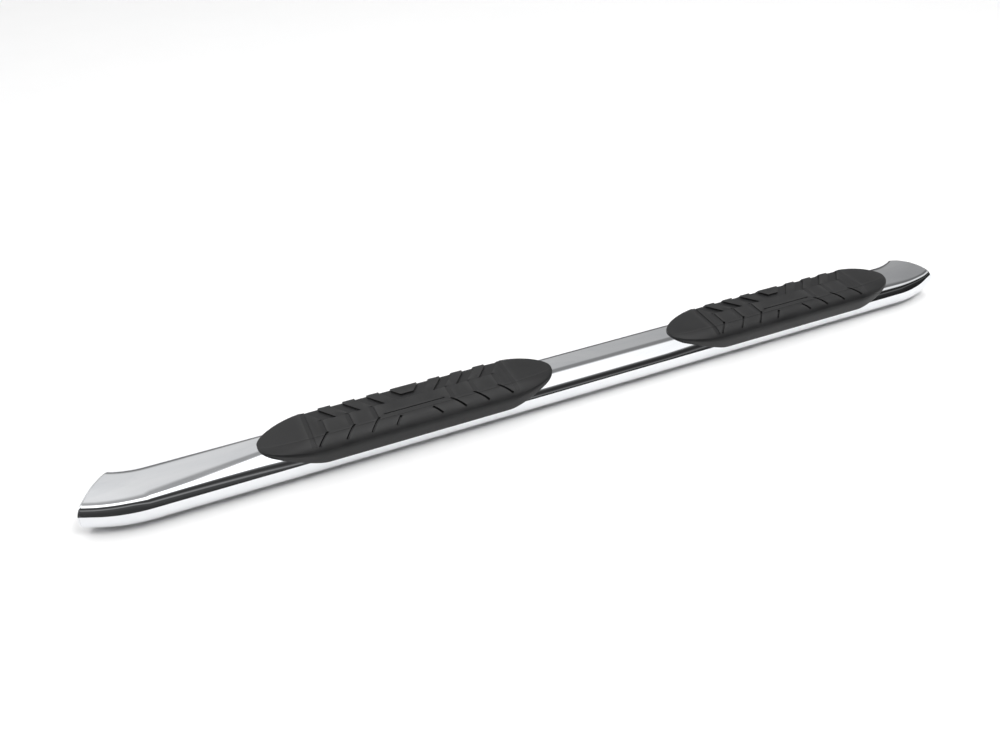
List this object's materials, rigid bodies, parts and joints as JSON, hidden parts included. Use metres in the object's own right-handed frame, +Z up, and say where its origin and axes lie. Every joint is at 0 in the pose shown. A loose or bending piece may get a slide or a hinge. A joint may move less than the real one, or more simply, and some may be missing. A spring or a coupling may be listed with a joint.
{
  "type": "running board",
  "caption": "Chrome oval-tube running board for a pickup truck, bent towards the vehicle at both ends, with moulded black step pads that have a tyre-tread pattern.",
  "frame": {"origin": "middle of the bounding box at floor level, under the bar", "axes": "+X along the bar towards the end with the short bare length, +Y towards the vehicle, +Z up"},
  "size_m": [2.1498, 0.1424, 0.0882],
  "materials": {
    "chrome_tube": "polished chrome plate",
    "step_pad": "fine-grained satin moulding",
    "clip": "plain moulded nylon",
    "insert": "zinc plated"
  },
  "bodies": {
    "root": {"oval_tube": "chrome_tube", "end_plate_left": "chrome_tube", "end_plate_right": "chrome_tube", "step_pad_left": "step_pad", "step_pad_right": "step_pad", "pad_clip_left_1": "clip", "pad_clip_left_2": "clip", "pad_clip_left_3": "clip", "pad_clip_left_4": "clip", "pad_clip_left_5": "clip", "pad_clip_left_6": "clip", "pad_clip_right_1": "clip", "pad_clip_right_2": "clip", "pad_clip_right_3": "clip", "pad_clip_right_4": "clip", "pad_clip_right_5": "clip", "pad_clip_right_6": "clip", "threaded_insert_1": "insert", "threaded_insert_2": "insert", "threaded_insert_3": "insert", "threaded_insert_4": "insert", "threaded_insert_5": "insert", "threaded_insert_6": "insert"}
  },
  "joints": []
}
